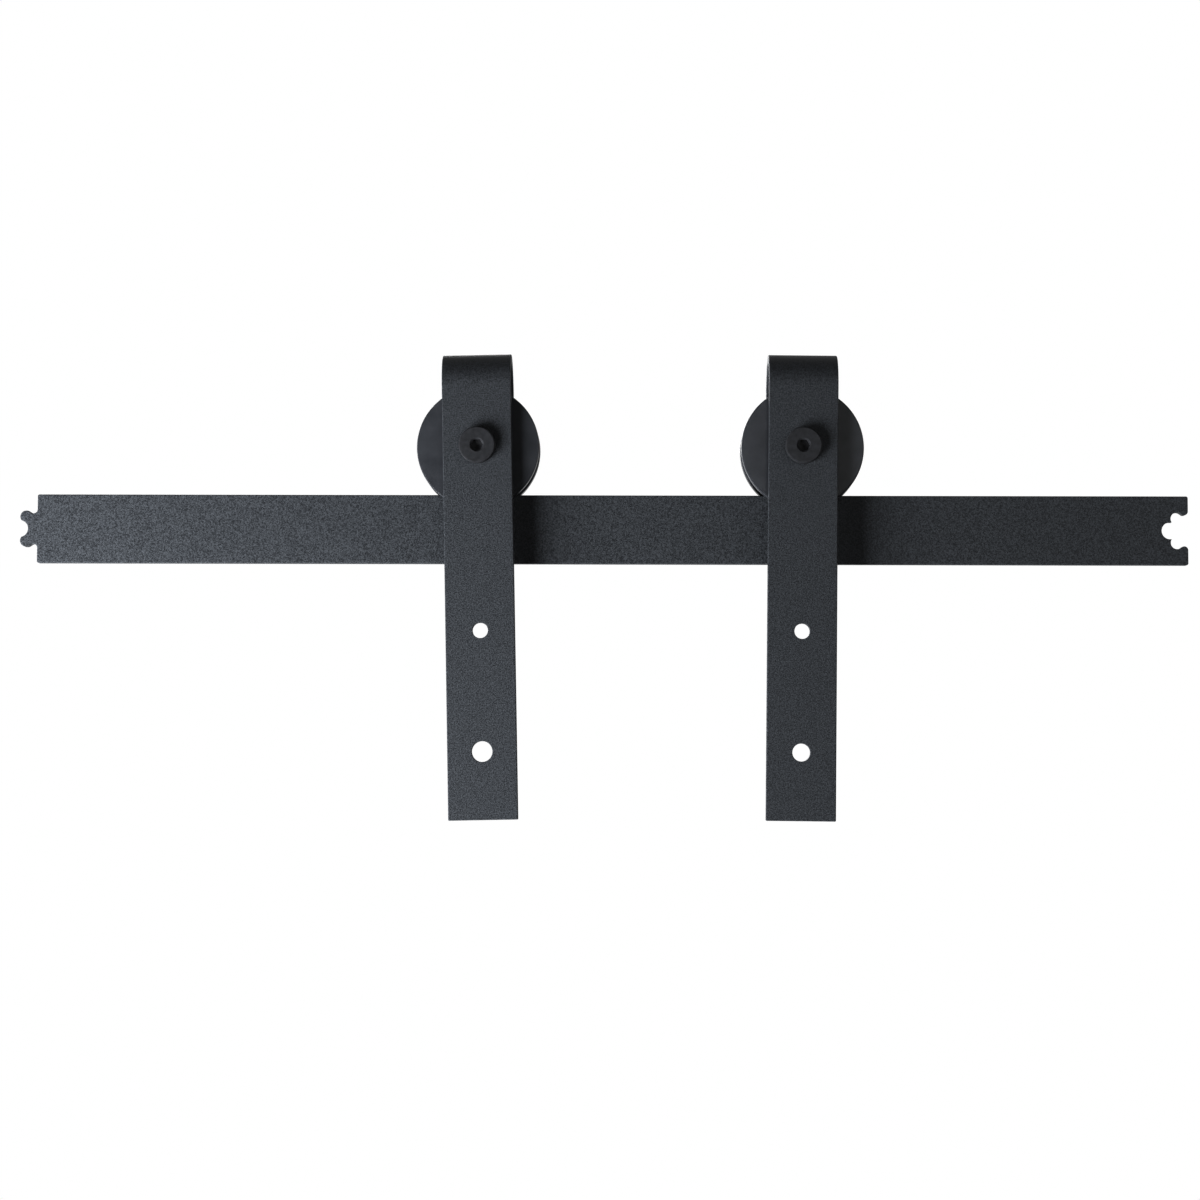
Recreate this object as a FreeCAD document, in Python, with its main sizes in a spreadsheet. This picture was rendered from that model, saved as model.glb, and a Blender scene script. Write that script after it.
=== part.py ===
# Sliding barn door hardware: one flat rail section and two hangers that roll along its top edge.
#
# Frame, in millimetres: the origin is the centre of the rail's back face. +X runs along the rail, +Y points
# from the rail to the wall behind it and +Z is up. Each hanger is drawn about its own axle: the axle lies along
# Y through the local origin, and the wheel is centred there.

import FreeCAD, Part
import math
import os

import Sketcher
from FreeCAD import Placement, Rotation, Vector

DRIVING_SIZES = [
    # rail
    ("rail_length", 670, "from shoulder to shoulder"),
    ("rail_height", 40, ""),
    ("rail_thickness", 6, ""),
    ("rail_corner", 1.0, "corner radius seen from the front"),
    ("rail_edge", 0.6, "round along the front and back edges"),
    # joint between two rail sections: a tongue with two lobes and half of a bolt hole between them
    ("joint_throat_radius", 2.4, "concave round between shoulder and lobe"),
    ("joint_throat_height", 11.3, "height of that round's centre"),
    ("joint_lobe_radius", 3.55, ""),
    ("joint_lobe_height", 7.0, "height of the lobe's centre"),
    ("joint_bolt_radius", 5.0, "fixing bolt's notch"),
    ("joint_bolt_reach", 10.5, "notch centre beyond the shoulder"),
    ("joint_gap", 0.2, "play between tongue and socket"),
    # hangers' places on the rail
    ("left_axle_along", -77.4, ""),
    ("right_axle_along", 110.9, ""),
    ("wheel_lift", 0.1, "play between groove and rail"),
    # strap
    ("strap_width", 40, ""),
    ("strap_thickness", 5, ""),
    ("strap_inner_gap", 30, "between the two legs"),
    ("strap_top", 55.5, "top of the bend above the axle"),
    ("strap_bottom", 215.8, "end of the front leg below the axle"),
    ("strap_edge", 0.6, "round along the cut edges"),
    ("left_lean", -1.25, "degrees about the axle, bottom end to the right"),
    ("right_lean", 0.5, "degrees about the axle, bottom end to the left"),
    ("strap_hole_edge", 0.4, "round at the rims of its holes"),
    ("upper_door_hole_drop", 107.0, "below the axle"),
    ("lower_door_hole_drop", 176.6, "below the axle"),
    ("upper_door_hole_radius", 4.5, ""),
    ("left_lower_hole_radius", 6.0, ""),
    ("right_lower_hole_radius", 5.2, ""),
    # wheel
    ("wheel_radius", 35.5, ""),
    ("wheel_width", 24, ""),
    ("wheel_root_radius", 27, "bottom of the groove, which rolls on the rail"),
    ("groove_root_width", 7.6, ""),
    ("groove_mouth_width", 12.0, ""),
    ("wheel_rim_round", 0.8, ""),
    ("wheel_opening_radius", 13.5, "in front of the bearing"),
    # bearing
    ("bearing_outer_radius", 16, ""),
    ("bearing_bore_radius", 6, ""),
    ("bearing_width", 10, ""),
    ("ball_radius", 2.95, ""),
    ("ball_path_radius", 11, ""),
    ("ball_play", 0.1, "raceway radius over ball radius"),
    ("ball_count", 7, ""),
    ("inner_land_radius", 9.3, ""),
    ("outer_land_radius", 12.8, ""),
    ("cage_wall", 1.6, ""),
    ("cage_width", 7.2, ""),
    ("seal_recess_radius", 13.4, ""),
    ("seal_recess_depth", 1.0, ""),
    ("seal_lip_radius", 9.5, ""),
    ("seal_thickness", 0.8, ""),
    ("seal_play", 0.05, "between seal and recess"),
    # circlip that keeps the bearing in the wheel
    ("circlip_groove_radius", 17, ""),
    ("circlip_groove_width", 1.4, ""),
    ("circlip_thickness", 1.2, ""),
    ("circlip_play", 0.1, "all round in its groove"),
    ("circlip_band", 2.2, ""),
    ("circlip_opening", 30, "degrees"),
    ("circlip_ear_angle", 8, "degrees from the ear's middle to the end"),
    ("circlip_ear_radius", 2.0, ""),
    ("circlip_ear_path", 14.2, "radius on which the ears lie"),
    ("circlip_ear_hole", 0.9, "radius"),
    # axle bolt and what it clamps
    ("axle_radius", 5.95, ""),
    ("axle_head_radius", 10.5, ""),
    ("axle_head_height", 5, ""),
    ("axle_head_chamfer", 0.8, ""),
    ("axle_socket_flats", 6, "across the flats"),
    ("axle_socket_depth", 3.6, ""),
    ("axle_sink_radius", 4.15, "countersink round the socket"),
    ("axle_sink_depth", 1.0, "at its centre"),
    ("axle_end_chamfer", 1.0, ""),
    ("axle_tail", 1.5, "bolt end beyond the nut"),
    ("axle_hole_radius", 6.1, "in straps, spacers and washers"),
    ("spacer_radius", 8.5, ""),
    ("plain_washer_radius", 12, ""),
    ("plain_washer_thickness", 1.5, ""),
    ("spring_washer_radius", 10.1, ""),
    ("spring_washer_thickness", 2.5, ""),
    ("spring_washer_slit", 1.2, ""),
    ("spring_washer_slant", 25, "degrees"),
    ("nut_flats", 18, "across the flats"),
    ("nut_height", 6, ""),
    ("nut_bore_radius", 6.0, ""),
    ("nut_chamfer_reach", 1.5, "across, at the corners"),
    ("nut_chamfer_rise", 0.8, "along the axle"),
]

# An edge lies in a plane, or has a given radius, if it keeps to it this closely.
FLAT = 1e-6

doc = FreeCAD.newDocument("SlidingDoorHardware")


def make_sheet():
    """Puts the driving dimensions into the document's spreadsheet."""
    table = doc.addObject("Spreadsheet::Sheet", "Sizes")
    for row, (alias, number, note) in enumerate(DRIVING_SIZES, start=1):
        table.set(f"A{row}", alias)
        table.set(f"B{row}", str(number))
        table.set(f"C{row}", note)
        table.setAlias(f"B{row}", alias)
    doc.recompute()
    return table


sheet = make_sheet()

# Expressions that several pieces share. Places along an axle count from the wheel's middle, towards the wall.
HALF_RAIL = "Sizes.rail_length / 2"
LEG_FACE = "Sizes.strap_inner_gap / 2"
LEG_BACK = f"({LEG_FACE} + Sizes.strap_thickness)"
BEND_HEIGHT = f"(Sizes.strap_top - {LEG_BACK})"
HALF_BEARING = "Sizes.bearing_width / 2"
HALF_WHEEL = "Sizes.wheel_width / 2"
RING_FACE = f"({LEG_BACK} + Sizes.plain_washer_thickness)"
NUT_FACE = f"({RING_FACE} + Sizes.spring_washer_thickness)"
NUT_BACK = f"({NUT_FACE} + Sizes.nut_height)"
AXLE_DEPTH = "-Sizes.rail_thickness / 2"
AXLE_HEIGHT = "Sizes.rail_height / 2 + Sizes.wheel_root_radius + Sizes.wheel_lift"
AXLE_TURN = Rotation(Vector(1, 0, 0), -90)


def value(expression):
    """The expression's present value, to lay geometry out before it is bound."""
    result = sheet.evalExpression(expression)
    return float(getattr(result, "Value", result))


# Sketch helpers

def new_body(label):
    body = doc.addObject("PartDesign::Body", label)
    body.Label = label
    return body


def new_sketch(body, role, name, lift=None):
    """A sketch on one of the body's own origin planes, or lifted off it along the plane's normal."""
    plane = next(feature for feature in body.Origin.OriginFeatures if feature.Role == role)
    sketch = body.newObject("Sketcher::SketchObject", name)
    sketch.AttachmentSupport = [(plane, "")]
    sketch.MapMode = "FlatFace"
    if lift:
        sketch.setExpression(".AttachmentOffset.Base.z", lift)
    return sketch


def bind(sketch, kind, *where, to):
    """Adds a dimension and binds it to an expression."""
    index = sketch.addConstraint(Sketcher.Constraint(kind, *where, value(to)))
    name = f"size_{index}"
    sketch.renameConstraint(index, name)
    sketch.setExpression(f"Constraints.{name}", to)


def place(sketch, geometry, point, across=None, up=None):
    """Dimensions a point from the sketch's origin; "0" puts it on the axis itself."""
    for kind, axis, distance in (("DistanceX", -2, across), ("DistanceY", -1, up)):
        if distance == "0":
            sketch.addConstraint(Sketcher.Constraint("PointOnObject", geometry, point, axis))
        elif distance is not None:
            bind(sketch, kind, -1, 1, geometry, point, to=distance)


def add_line(sketch, start, end):
    """A line between two points. Returns it with the points where it is entered and left."""
    line = sketch.addGeometry(Part.LineSegment(Vector(*start, 0), Vector(*end, 0)))
    return line, 1, 2


def add_arc(sketch, centre, radius, start, end):
    """An arc between two angles in degrees, clockwise when end is below start.

    Returns it with the points where it is entered and left.
    """
    low, high = sorted((math.radians(start), math.radians(end)))
    circle = Part.Circle(Vector(*centre, 0), Vector(0, 0, 1), radius)
    arc = sketch.addGeometry(Part.ArcOfCircle(circle, low, high))
    return (arc, 1, 2) if start < end else (arc, 2, 1)


def join(sketch, links, corners=(), closed=False):
    """Joins each link to the next: in a corner after the links numbered in corners, smoothly elsewhere."""
    last = len(links) if closed else len(links) - 1
    for i in range(last):
        geometry, _, leaving = links[i]
        following, entering, _ = links[(i + 1) % len(links)]
        kind = "Coincident" if i in corners else "Tangent"
        sketch.addConstraint(Sketcher.Constraint(kind, geometry, leaving, following, entering))


def align(sketch, kind, *links):
    """Holds lines Vertical or Horizontal."""
    for link in links:
        sketch.addConstraint(Sketcher.Constraint(kind, link[0]))


def draw_polygon(sketch, corners):
    """A closed outline of straight lines through corners given as pairs of expressions."""
    points = [(value(across), value(up)) for across, up in corners]
    links = [add_line(sketch, points[i - 1], point) for i, point in enumerate(points)]
    join(sketch, links, corners=range(len(links)), closed=True)
    for (line, _, leaving), (across, up) in zip(links, corners):
        place(sketch, line, leaving, across, up)


def draw_circle(sketch, radius, across="0", up="0"):
    """A circle whose radius and centre are expressions."""
    centre = Vector(value(across), value(up), 0)
    circle = sketch.addGeometry(Part.Circle(centre, Vector(0, 0, 1), value(radius)))
    bind(sketch, "Radius", circle, to=radius)
    place(sketch, circle, 3, across, up)


def draw_hexagon(sketch, flats):
    """A regular hexagon about the sketch's origin, given its width across the flats."""
    reach = f"{flats} / 2 / cos(30 deg)"
    turns = [f"{30 + 60 * i} deg" for i in range(6)]
    draw_polygon(sketch, [(f"{reach} * cos({turn})", f"{reach} * sin({turn})") for turn in turns])


# Feature helpers

def pad(body, sketch, length, reverse=False, both_ways=False):
    """Thickens a sketch along its plane's normal, against it, or half each way."""
    solid = body.newObject("PartDesign::Pad", f"{sketch.Name}_pad")
    solid.Profile = sketch
    solid.setExpression("Length", length)
    solid.Reversed = reverse
    solid.Midplane = both_ways
    return solid


def pocket(body, sketch, depth=None):
    """Cuts a sketch's outline to a depth, or right through both ways."""
    hollow = body.newObject("PartDesign::Pocket", f"{sketch.Name}_pocket")
    hollow.Profile = sketch
    if depth:
        hollow.setExpression("Length", depth)
    else:
        hollow.Type = "ThroughAll"
        hollow.Midplane = True
    return hollow


def turn(body, sketch, kind="PartDesign::Revolution"):
    """Turns a sketch on the XY plane, radius across and place up, about the axle: a solid, or a groove."""
    turned = body.newObject(kind, f"{sketch.Name}_turned")
    turned.Profile = sketch
    turned.ReferenceAxis = (sketch, ["V_Axis"])
    turned.Angle = 360
    return turned


def has_radius(edge, *radii):
    """Whether the edge is round, with one of the radii."""
    try:
        curve = edge.Curve
    except TypeError:
        return False  # an edge without a curve of a known type
    return hasattr(curve, "Radius") and any(abs(curve.Radius - radius) < FLAT for radius in radii)


def round_edges(body, base, radius, chosen):
    """Rounds the chosen edges of the base feature."""
    doc.recompute()
    names = [f"Edge{i}" for i, edge in enumerate(base.Shape.Edges, start=1) if chosen(edge)]
    fillet = body.newObject("PartDesign::Fillet", f"{base.Name}_round")
    fillet.Base = (base, names)
    fillet.setExpression("Radius", radius)


def primitive(kind, name, sizes, rotation=Rotation()):
    """A Part primitive with its sizes and place bound to expressions."""
    item = doc.addObject(kind, name)
    item.Placement = Placement(Vector(), rotation)
    for key, expression in sizes.items():
        item.setExpression(key, expression)
    return item


def rod(name, radius, start, length, **more):
    """A cylinder along the axle, from its start towards the wall."""
    sizes = {"Radius": radius, "Height": length, ".Placement.Base.y": start}
    sizes.update(more)
    return primitive("Part::Cylinder", name, sizes, AXLE_TURN)


def cut(name, base, *tools):
    """The base less its tools, one after another."""
    result = base
    for i, tool in enumerate(tools, start=1):
        less = doc.addObject("Part::Cut", name if i == len(tools) else f"{name}_cut_{i}")
        less.Base = result
        less.Tool = tool
        result = less
    return result


def tube(name, outer, inner, start, length):
    """A round sleeve along the axle."""
    return cut(name, rod(f"{name}_outside", outer, start, length), rod(f"{name}_inside", inner, start, length))


def ball_track(name):
    """The ring in which the balls run: what it overlaps becomes their raceway."""
    return primitive("Part::Torus", name, {
        "Radius1": "Sizes.ball_path_radius",
        "Radius2": "Sizes.ball_radius + Sizes.ball_play",
    }, AXLE_TURN)


def ball_angle(i):
    """Where ball i stands round the axle, from +X towards +Z."""
    return f"{i} * 360 deg / Sizes.ball_count"


def ring_of_balls(name):
    """Equally spaced balls on the bearing's ball path."""
    balls = [
        primitive("Part::Sphere", f"{name}_{i + 1}", {
            "Radius": "Sizes.ball_radius",
            ".Placement.Base.x": f"Sizes.ball_path_radius * cos({ball_angle(i)})",
            ".Placement.Base.z": f"Sizes.ball_path_radius * sin({ball_angle(i)})",
        })
        for i in range(int(sheet.ball_count))
    ]
    ring = doc.addObject("Part::Compound", name)
    ring.Links = balls
    return ring


# The rail

def draw_rail_end(sketch, side, gap):
    """One end of the rail's outline, from the top line's end to the bottom line's end.

    Side -1 is the tongue at the left end and side 1 the socket at the right end. Both reach towards -X from
    their shoulders, and the socket is wider by the gap all round, so one section's tongue fills the next one's
    socket. Each has two lobes, and half of a round hole for a fixing bolt between them.
    """
    shoulder = f"{side} * {HALF_RAIL}"
    throat = f"Sizes.joint_throat_radius - {gap}"
    lobe = f"Sizes.joint_lobe_radius + {gap}"
    notch_along = f"{shoulder} - Sizes.joint_bolt_reach + {gap}"

    # Present values, from which the sketch starts close to its solution.
    base, throat_r, lobe_r, notch_x = (value(each) for each in (shoulder, throat, lobe, notch_along))
    throat_h, lobe_h, notch_r = sheet.joint_throat_height, sheet.joint_lobe_height, sheet.joint_bolt_radius
    corner = sheet.rail_corner
    top = value("Sizes.rail_height / 2")
    throat_x = base - throat_r
    lobe_x = throat_x - math.sqrt((throat_r + lobe_r) ** 2 - (throat_h - lobe_h) ** 2)
    lean = math.degrees(math.atan2(throat_h - lobe_h, throat_x - lobe_x))
    apart = math.hypot(lobe_x - notch_x, lobe_h)
    lobe_seen = math.degrees(math.atan2(lobe_h, lobe_x - notch_x))
    lobe_share = math.degrees(math.acos((apart**2 + lobe_r**2 - notch_r**2) / (2 * apart * lobe_r)))
    notch_share = math.degrees(math.acos((apart**2 + notch_r**2 - lobe_r**2) / (2 * apart * notch_r)))
    tip_lobe = lobe_seen + 180 - lobe_share
    tip_notch = lobe_seen + notch_share
    notch_end = -tip_notch if side < 0 else 360 - tip_notch

    corner_x = base - side * corner
    outward = 90 - 90 * side
    links = [
        add_arc(sketch, (corner_x, top - corner), corner, 90, outward),
        add_line(sketch, (base, top - corner), (base, throat_h)),
        add_arc(sketch, (throat_x, throat_h), throat_r, 0, lean - 180),
        add_arc(sketch, (lobe_x, lobe_h), lobe_r, lean, tip_lobe),
        add_arc(sketch, (notch_x, 0), notch_r, tip_notch, notch_end),
        add_arc(sketch, (lobe_x, -lobe_h), lobe_r, -tip_lobe, -lean),
        add_arc(sketch, (throat_x, -throat_h), throat_r, 180 - lean, 0),
        add_line(sketch, (base, -throat_h), (base, corner - top)),
        add_arc(sketch, (corner_x, corner - top), corner, outward, outward - 90 * side),
    ]
    join(sketch, links, corners=(3, 4))
    upper_corner, upper_shoulder, upper_throat, upper_lobe, notch = (link[0] for link in links[:5])
    lower_lobe, lower_throat, lower_shoulder, lower_corner = (link[0] for link in links[5:])
    for arc, radius in ((upper_corner, "Sizes.rail_corner"), (lower_corner, "Sizes.rail_corner"),
                        (upper_throat, throat), (lower_throat, throat),
                        (upper_lobe, lobe), (lower_lobe, lobe), (notch, "Sizes.joint_bolt_radius")):
        bind(sketch, "Radius", arc, to=radius)
    for arc, height in ((upper_throat, "Sizes.joint_throat_height"), (lower_throat, "-Sizes.joint_throat_height"),
                        (upper_lobe, "Sizes.joint_lobe_height"), (lower_lobe, "-Sizes.joint_lobe_height")):
        place(sketch, arc, 3, up=height)
    align(sketch, "Vertical", links[1], links[7])
    place(sketch, upper_shoulder, 1, across=shoulder)
    place(sketch, lower_shoulder, 1, across=shoulder)
    place(sketch, notch, 3, notch_along, "0")
    return links


def build_rail():
    body = new_body("rail")
    sketch = new_sketch(body, "XZ_Plane", "rail_outline")
    left = draw_rail_end(sketch, -1, "0")
    right = draw_rail_end(sketch, 1, "Sizes.joint_gap")
    reach = value(f"{HALF_RAIL} - Sizes.rail_corner")
    half = value("Sizes.rail_height / 2")
    top_line = add_line(sketch, (-reach, half), (reach, half))
    bottom_line = add_line(sketch, (-reach, -half), (reach, -half))
    for line, end, up in ((top_line, 0, "Sizes.rail_height / 2"), (bottom_line, -1, "-Sizes.rail_height / 2")):
        for corner, point in ((left[end], 1), (right[end], 2)):
            free_point = corner[1] if end == 0 else corner[2]
            sketch.addConstraint(Sketcher.Constraint("Tangent", line[0], point, corner[0], free_point))
        place(sketch, line[0], 1, up=up)
        align(sketch, "Horizontal", line)
    bar = pad(body, sketch, "Sizes.rail_thickness")
    round_edges(body, bar, "Sizes.rail_edge", lambda edge: edge.BoundBox.YLength < FLAT)
    return body


# One hanger

def build_strap(side):
    """Flat bar bent over the wheel: a long front leg for the door and a short rear leg with a round end."""
    body = new_body(f"{side}_strap")
    profile = new_sketch(body, "YZ_Plane", f"{side}_strap_profile")
    face, back, bend, bottom = (value(each) for each in (LEG_FACE, LEG_BACK, BEND_HEIGHT, "-Sizes.strap_bottom"))
    links = [
        add_line(profile, (-back, bottom), (-back, bend)),
        add_arc(profile, (0, bend), back, 180, 0),
        add_line(profile, (back, bend), (back, 0)),
        add_line(profile, (back, 0), (face, 0)),
        add_line(profile, (face, 0), (face, bend)),
        add_arc(profile, (0, bend), face, 0, 180),
        add_line(profile, (-face, bend), (-face, bottom)),
        add_line(profile, (-face, bottom), (-back, bottom)),
    ]
    join(profile, links, corners=(2, 3, 6, 7), closed=True)
    align(profile, "Vertical", links[0], links[2], links[4], links[6])
    align(profile, "Horizontal", links[3], links[7])
    place(profile, links[0][0], 1, f"-{LEG_BACK}", "-Sizes.strap_bottom")
    place(profile, links[1][0], 3, "0", BEND_HEIGHT)
    place(profile, links[4][0], 1, LEG_FACE, "0")
    place(profile, links[5][0], 3, up=BEND_HEIGHT)
    pad(body, profile, "Sizes.strap_width", both_ways=True)
    rear_end = new_sketch(body, "XZ_Plane", f"{side}_strap_rear_end", lift=f"-{LEG_FACE}")
    draw_circle(rear_end, "Sizes.strap_width / 2")
    bar = pad(body, rear_end, "Sizes.strap_thickness", reverse=True)
    half_width = value("Sizes.strap_width / 2")

    def is_cut_edge(edge):
        box = edge.BoundBox
        at_side = box.XLength < FLAT < box.ZLength
        at_bottom = box.ZMax < bottom + FLAT
        at_rear_end = box.YLength < FLAT and has_radius(edge, half_width)
        return at_side or at_bottom or at_rear_end

    round_edges(body, bar, "Sizes.strap_edge", is_cut_edge)

    holes = new_sketch(body, "XZ_Plane", f"{side}_strap_holes")
    draw_circle(holes, "Sizes.axle_hole_radius")
    draw_circle(holes, "Sizes.upper_door_hole_radius", up="-Sizes.upper_door_hole_drop")
    draw_circle(holes, f"Sizes.{side}_lower_hole_radius", up="-Sizes.lower_door_hole_drop")
    punched = pocket(body, holes)
    radii = (sheet.upper_door_hole_radius, sheet.left_lower_hole_radius, sheet.right_lower_hole_radius)
    round_edges(body, punched, "Sizes.strap_hole_edge", lambda edge: has_radius(edge, *radii))
    return body


def build_wheel(side):
    """Turned wheel: a flared groove that rides on the rail, and a stepped bore for the bearing and its circlip."""
    body = new_body(f"{side}_wheel")
    section = new_sketch(body, "XY_Plane", f"{side}_wheel_section")
    draw_polygon(section, [
        ("Sizes.wheel_opening_radius", f"-{HALF_WHEEL}"),
        ("Sizes.wheel_radius", f"-{HALF_WHEEL}"),
        ("Sizes.wheel_radius", "-Sizes.groove_mouth_width / 2"),
        ("Sizes.wheel_root_radius", "-Sizes.groove_root_width / 2"),
        ("Sizes.wheel_root_radius", "Sizes.groove_root_width / 2"),
        ("Sizes.wheel_radius", "Sizes.groove_mouth_width / 2"),
        ("Sizes.wheel_radius", HALF_WHEEL),
        ("Sizes.bearing_outer_radius", HALF_WHEEL),
        ("Sizes.bearing_outer_radius", f"{HALF_BEARING} + Sizes.circlip_groove_width"),
        ("Sizes.circlip_groove_radius", f"{HALF_BEARING} + Sizes.circlip_groove_width"),
        ("Sizes.circlip_groove_radius", HALF_BEARING),
        ("Sizes.bearing_outer_radius", HALF_BEARING),
        ("Sizes.bearing_outer_radius", f"-{HALF_BEARING}"),
        ("Sizes.wheel_opening_radius", f"-{HALF_BEARING}"),
    ])
    blank = turn(body, section)
    round_edges(body, blank, "Sizes.wheel_rim_round", lambda edge: has_radius(edge, sheet.wheel_radius))
    return body


def build_bearing(side):
    """Sealed deep-groove ball bearing, piece by piece."""
    start = f"-{HALF_BEARING}"
    width = "Sizes.bearing_width"
    inner = cut(
        f"{side}_bearing_inner_race",
        tube(f"{side}_inner_blank", "Sizes.inner_land_radius", "Sizes.bearing_bore_radius", start, width),
        ball_track(f"{side}_inner_track"),
    )
    recess = "Sizes.seal_recess_depth"
    outer = cut(
        f"{side}_bearing_outer_race",
        tube(f"{side}_outer_blank", "Sizes.bearing_outer_radius", "Sizes.outer_land_radius", start, width),
        ball_track(f"{side}_outer_track"),
        rod(f"{side}_front_recess", "Sizes.seal_recess_radius", start, recess),
        rod(f"{side}_rear_recess", "Sizes.seal_recess_radius", f"{HALF_BEARING} - {recess}", recess),
    )
    balls = ring_of_balls(f"{side}_bearing_balls")
    pockets = [
        primitive("Part::Cylinder", f"{side}_cage_pocket_{i + 1}", {
            "Radius": "Sizes.ball_radius + Sizes.ball_play",
            "Height": "Sizes.bearing_outer_radius",
            ".Placement.Rotation.Angle": f"90 deg - {ball_angle(i)}",
        }, Rotation(Vector(0, 1, 0), 1))
        for i in range(int(sheet.ball_count))
    ]
    cage = cut(
        f"{side}_bearing_cage",
        tube(f"{side}_cage_blank", "Sizes.ball_path_radius + Sizes.cage_wall / 2",
             "Sizes.ball_path_radius - Sizes.cage_wall / 2", "-Sizes.cage_width / 2", "Sizes.cage_width"),
        *pockets,
    )
    seal_outside = "Sizes.seal_recess_radius - Sizes.seal_play"
    seal_face = f"({HALF_BEARING} - {recess} + Sizes.seal_play)"
    seal_starts = {"front": f"-{seal_face} - Sizes.seal_thickness", "rear": seal_face}
    seals = [
        tube(f"{side}_bearing_{end}_seal", seal_outside, "Sizes.seal_lip_radius", begin, "Sizes.seal_thickness")
        for end, begin in seal_starts.items()
    ]
    return [inner, outer, balls, cage, *seals]


def build_circlip(side):
    """Open spring ring behind the bearing, with an eared end on each side of its opening."""
    start = f"{HALF_BEARING} + Sizes.circlip_play"
    thickness = "Sizes.circlip_thickness"
    outside = "Sizes.circlip_groove_radius - Sizes.circlip_play"
    band = cut(
        f"{side}_circlip_band",
        rod(f"{side}_circlip_sector", outside, start, thickness, Angle="360 - Sizes.circlip_opening"),
        rod(f"{side}_circlip_inside", f"{outside} - Sizes.circlip_band", start, thickness),
    )
    ears = []
    holes = []
    ear_angles = ("Sizes.circlip_ear_angle", "(360 - Sizes.circlip_opening - Sizes.circlip_ear_angle)")
    for i, angle in enumerate(ear_angles, start=1):
        spot = {
            ".Placement.Base.x": f"Sizes.circlip_ear_path * cos({angle} * 1 deg)",
            ".Placement.Base.z": f"-Sizes.circlip_ear_path * sin({angle} * 1 deg)",
        }
        ears.append(rod(f"{side}_circlip_ear_{i}", "Sizes.circlip_ear_radius", start, thickness, **spot))
        holes.append(rod(f"{side}_circlip_ear_hole_{i}", "Sizes.circlip_ear_hole", start, thickness, **spot))
    ring = doc.addObject("Part::MultiFuse", f"{side}_circlip_blank")
    ring.Shapes = [band, *ears]
    return cut(f"{side}_circlip", ring, *holes)


def build_axle_bolt(side):
    """Low round head with a hexagon socket, and a plain shank that runs through both legs."""
    body = new_body(f"{side}_axle_bolt")
    head = f"(-{LEG_BACK} - Sizes.axle_head_height)"
    tip = f"({NUT_BACK} + Sizes.axle_tail)"
    section = new_sketch(body, "XY_Plane", f"{side}_axle_section")
    draw_polygon(section, [
        ("0", f"{head} + Sizes.axle_sink_depth"),
        ("Sizes.axle_sink_radius", head),
        ("Sizes.axle_head_radius - Sizes.axle_head_chamfer", head),
        ("Sizes.axle_head_radius", f"{head} + Sizes.axle_head_chamfer"),
        ("Sizes.axle_head_radius", f"-{LEG_BACK}"),
        ("Sizes.axle_radius", f"-{LEG_BACK}"),
        ("Sizes.axle_radius", f"{tip} - Sizes.axle_end_chamfer"),
        ("Sizes.axle_radius - Sizes.axle_end_chamfer", tip),
        ("0", tip),
    ])
    turn(body, section)
    socket = new_sketch(body, "XZ_Plane", f"{side}_axle_socket", lift=f"-{head}")
    draw_hexagon(socket, "Sizes.axle_socket_flats")
    pocket(body, socket, "Sizes.axle_socket_depth")
    return body


def build_spacers(side):
    """A sleeve on each side of the bearing's inner race, out to the leg."""
    length = f"{LEG_FACE} - {HALF_BEARING}"
    starts = {"front": f"-{LEG_FACE}", "rear": HALF_BEARING}
    return [
        tube(f"{side}_{end}_spacer", "Sizes.spacer_radius", "Sizes.axle_hole_radius", start, length)
        for end, start in starts.items()
    ]


def build_washers(side):
    """A plain washer on the rear leg, then a split spring washer."""
    plain = tube(f"{side}_plain_washer", "Sizes.plain_washer_radius", "Sizes.axle_hole_radius", LEG_BACK,
                 "Sizes.plain_washer_thickness")
    slit_length = "Sizes.spring_washer_thickness * 3"
    slit = primitive("Part::Box", f"{side}_spring_slit", {
        "Length": "Sizes.spring_washer_slit",
        "Width": slit_length,
        "Height": "Sizes.spring_washer_radius * 2",
        ".Placement.Base.x": "-Sizes.spring_washer_slit",
        ".Placement.Base.y": f"{RING_FACE} - Sizes.spring_washer_thickness",
        ".Placement.Rotation.Angle": "Sizes.spring_washer_slant * 1 deg",
    }, Rotation(Vector(0, 0, 1), sheet.spring_washer_slant))
    ring = tube(f"{side}_spring_ring", "Sizes.spring_washer_radius", "Sizes.axle_hole_radius", RING_FACE,
                "Sizes.spring_washer_thickness")
    return [plain, cut(f"{side}_spring_washer", ring, slit)]


def build_axle_nut(side):
    """Thin hexagon nut with both faces chamfered at the corners."""
    body = new_body(f"{side}_axle_nut")
    hexagon = new_sketch(body, "XZ_Plane", f"{side}_nut_hexagon", lift=f"-{NUT_FACE}")
    draw_hexagon(hexagon, "Sizes.nut_flats")
    pad(body, hexagon, "Sizes.nut_height", reverse=True)
    reach = "Sizes.nut_flats / 2 / cos(30 deg)"
    for end, face, inward in (("front", NUT_FACE, "+"), ("rear", NUT_BACK, "-")):
        chamfer = new_sketch(body, "XY_Plane", f"{side}_nut_{end}_chamfer")
        draw_polygon(chamfer, [
            (f"{reach} - Sizes.nut_chamfer_reach", face),
            (f"{reach} + Sizes.nut_chamfer_reach", face),
            (f"{reach} + Sizes.nut_chamfer_reach", f"{face} {inward} 2 * Sizes.nut_chamfer_rise"),
        ])
        turn(body, chamfer, "PartDesign::Groove")
    bore = new_sketch(body, "XZ_Plane", f"{side}_nut_bore")
    draw_circle(bore, "Sizes.nut_bore_radius")
    pocket(body, bore)
    return body


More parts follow.
